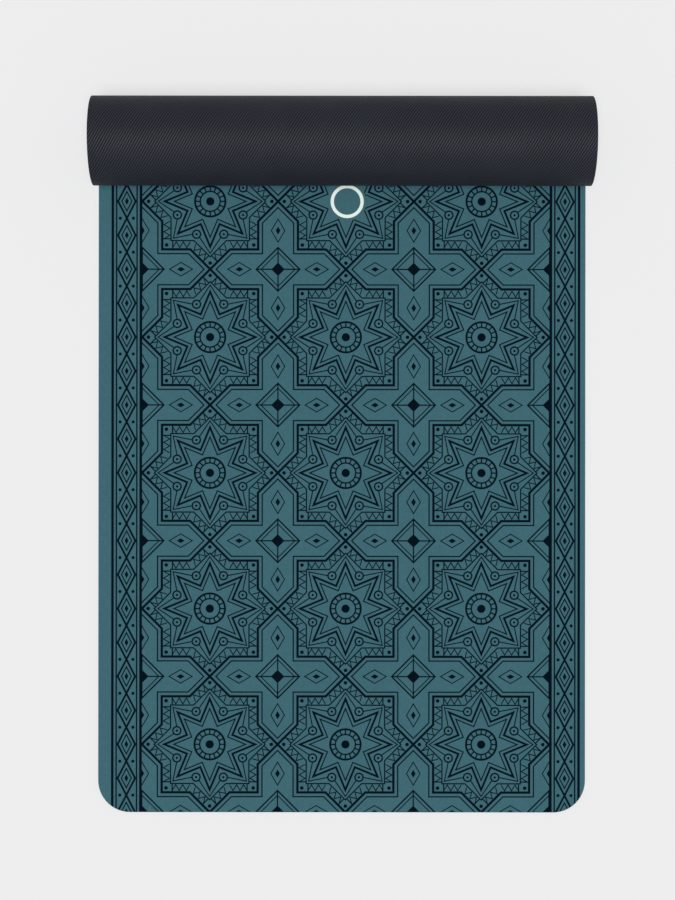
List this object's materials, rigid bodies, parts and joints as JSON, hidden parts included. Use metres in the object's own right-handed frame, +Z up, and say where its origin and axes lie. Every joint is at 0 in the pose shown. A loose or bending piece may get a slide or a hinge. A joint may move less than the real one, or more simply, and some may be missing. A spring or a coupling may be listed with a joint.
{
  "type": "yoga mat",
  "caption": "Yoga mat lying half unrolled: a printed suede sheet bonded to a ribbed rubber base, with the front flat and the rest wound up behind it.",
  "frame": {"origin": "middle of the footprint, on the floor: halfway across the mat, and halfway from its front edge to the back of the roll", "axes": "+X across the mat to the right as one stands at its front edge, +Y from the front edge to the roll, +Z up from the floor"},
  "size_m": [0.61, 0.8864, 0.1113],
  "materials": {
    "rubber": "matt charcoal rubber foam with fine slanting ribs on the face that grips the floor",
    "suede": "short-napped teal microfibre suede with a dark line print and one white centre mark"
  },
  "bodies": {
    "root": {"rubber_base": "rubber", "suede_top": "suede"}
  },
  "joints": []
}
